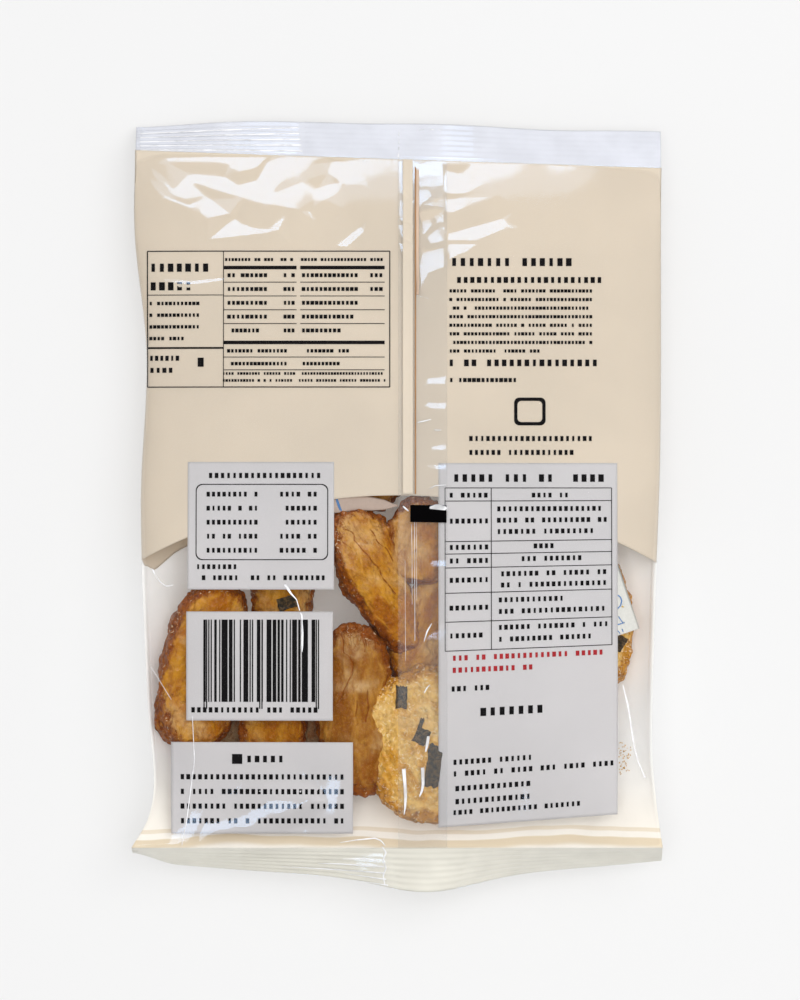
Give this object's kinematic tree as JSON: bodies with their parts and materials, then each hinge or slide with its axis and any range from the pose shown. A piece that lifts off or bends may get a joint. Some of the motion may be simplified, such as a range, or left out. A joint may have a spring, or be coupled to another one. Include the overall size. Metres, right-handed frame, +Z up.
{
  "type": "bag of rice crackers",
  "caption": "Sealed pillow bag of soy-glazed puffed rice crackers lying on its front, with a clear window, a folded back seam, crimped ends and plain label panels.",
  "frame": {"origin": "on the table, under the middle of the pack", "axes": "+X across the pack to the right as its back is seen, +Y to its top seal, +Z up out of its back"},
  "size_m": [0.1454, 0.2116, 0.0337],
  "materials": {
    "film": "clear glossy film, drawn opaque on the plain solid",
    "print": "cream print under glossy film",
    "label": "pale grey print under glossy film",
    "ink": "dark print under glossy film",
    "cracker": "baked and soy-glazed rice",
    "nori": "dried seaweed",
    "paper": "matte sachet paper"
  },
  "bodies": {
    "root": {"bag": "film"}
  },
  "joints": []
}
